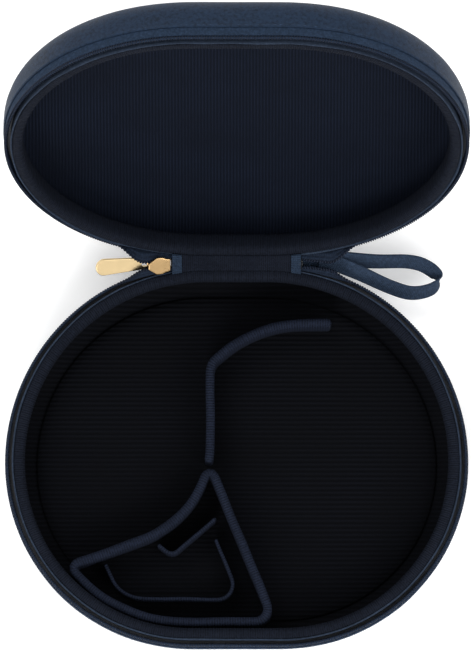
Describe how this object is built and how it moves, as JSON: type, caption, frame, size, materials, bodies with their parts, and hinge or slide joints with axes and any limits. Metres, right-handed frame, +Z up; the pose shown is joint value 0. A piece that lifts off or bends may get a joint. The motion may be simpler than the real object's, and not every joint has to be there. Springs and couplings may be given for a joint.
{
  "type": "headphone carrying case",
  "caption": "Oval semi-rigid fabric case, hinged and zipped, with foam-walled insert for folded headphones, metal pull tab and wrist strap",
  "frame": {"origin": "centre of the base's flat underside, which rests on the floor, midway between the left and right ends of the oval", "axes": "+X to the right along the oval's length, +Y from the front towards the hinge, +Z up"},
  "size_m": [0.215, 0.2842, 0.1883],
  "materials": {
    "shell_fabric": "smooth coated fabric, satin",
    "foam": "closed-cell foam, matt",
    "lid_lining": "ribbed knitted lining, matt",
    "base_lining": "napped lining, matt",
    "collar_fabric": "ribbed knitted cover, matt",
    "tape": "woven tape, matt",
    "thread": "sewing thread",
    "coil": "moulded coil, satin",
    "clip": "matt black",
    "slider_metal": "plated, satin",
    "pull_gold": "plated, satin",
    "strap_rubber": "woven webbing, satin"
  },
  "bodies": {
    "base": {"adapter_pocket_wall": "base_lining", "base_collar_core": "foam", "base_collar_cover": "collar_fabric", "base_foam_shell": "foam", "base_hinge_leaf": "tape", "base_liner": "base_lining", "base_outer_fabric": "shell_fabric", "base_rim_welt": "shell_fabric", "base_seam_thread": "thread", "base_zip_coil": "coil", "base_zip_tail_left": "tape", "base_zip_tail_right": "tape", "base_zip_tape": "tape", "box_wall_core": "foam", "box_wall_cover": "base_lining", "cable_pocket_rim": "base_lining", "insert_floor_pad": "base_lining", "stem_wall_core": "foam", "stem_wall_cover": "base_lining"},
    "lid": {"lid_collar_core": "foam", "lid_collar_cover": "collar_fabric", "lid_foam_shell": "foam", "lid_hinge_leaf": "tape", "lid_liner": "lid_lining", "lid_outer_fabric": "shell_fabric", "lid_rim_welt": "shell_fabric", "lid_seam_thread": "thread", "lid_zip_coil": "coil", "lid_zip_tail_left": "tape", "lid_zip_tail_right": "tape", "lid_zip_tape": "tape"},
    "fold": {"hinge_inner_strip": "tape", "strap_anchor": "tape", "strap_bartack": "thread", "zip_stop_left": "clip", "zip_stop_right": "clip"},
    "slider": {"slider_bail": "slider_metal", "slider_body": "slider_metal"},
    "pull": {"pull_tab": "pull_gold"},
    "strap": {"wrist_strap": "strap_rubber"}
  },
  "joints": [
    {"name": "lid_hinge", "type": "hinge", "parent": "base", "child": "lid", "pos_m": [0, 0.0935, 0.03], "axis": [-1, 0, 0], "range_deg": [-118, 0], "deforming": ["base_zip_tail_left", "base_zip_tail_right", "lid_zip_tail_left", "lid_zip_tail_right", "hinge_inner_strip"]},
    {"name": "fold_tilt", "type": "hinge", "parent": "base", "child": "fold", "pos_m": [0, 0.0935, 0.03], "axis": [-1, 0, 0], "range_deg": [-59, 0]},
    {"name": "slider_travel", "type": "slide", "parent": "fold", "child": "slider", "axis": [-0.9711, -0.1228, 0.2044], "range_m": [0, 0.01]},
    {"name": "pull_flip", "type": "hinge", "parent": "slider", "child": "pull", "pos_m": [-0.03819, 0.09296, 0.0309], "axis": [0, -0.8572, -0.515], "range_deg": [0, 150]},
    {"name": "strap_flex", "type": "hinge", "parent": "fold", "child": "strap", "pos_m": [0.0418, 0.09422, 0.0288], "axis": [0, 0.8572, 0.515], "range_deg": [-10, 25], "stiffness_Nm_per_rad": 0.004}
  ],
  "couplings": [
    {"joint": "fold_tilt", "follows": "lid_hinge", "ratio": 0.5}
  ]
}
